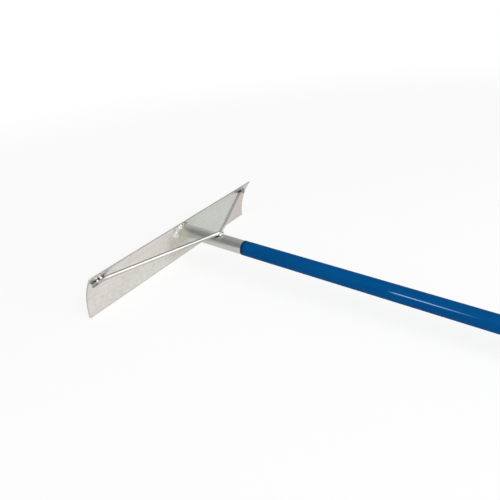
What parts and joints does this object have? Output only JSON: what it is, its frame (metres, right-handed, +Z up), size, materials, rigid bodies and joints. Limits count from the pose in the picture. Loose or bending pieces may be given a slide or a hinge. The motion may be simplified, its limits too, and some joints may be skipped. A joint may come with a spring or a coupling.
{
  "type": "concrete placer",
  "caption": "Hand tool for pulling wet concrete: a wide curved aluminium blade, a brace rod bent to a V, and a long straight tube handle with a blue sleeve.",
  "frame": {"origin": "middle of the blade's working edge, where it stands on the floor", "axes": "+Z up from the floor the tool lies on, X along the blade, -Y along the handle towards the grip end"},
  "size_m": [0.4952, 1.5506, 0.0957],
  "materials": {
    "blade_sheet": "mill finish sheet with a fine rolled grain along its length",
    "bare_tube": "drawn mill finish, semi-bright",
    "blue_sleeve": "thin shrunk vinyl skin, satin to semi-gloss",
    "black_plug": "moulded, fine grain",
    "weld_bead": "rippled weld bead",
    "brace_rod": "bright drawn rod"
  },
  "bodies": {
    "root": {"blade": "blade_sheet", "handle_tube": "bare_tube", "handle_sleeve": "blue_sleeve", "end_plug": "black_plug", "tube_weld": "weld_bead", "brace_weld": "weld_bead", "brace": "brace_rod", "left_inner_tack": "weld_bead", "left_outer_tack": "weld_bead", "right_inner_tack": "weld_bead", "right_outer_tack": "weld_bead"}
  },
  "joints": []
}
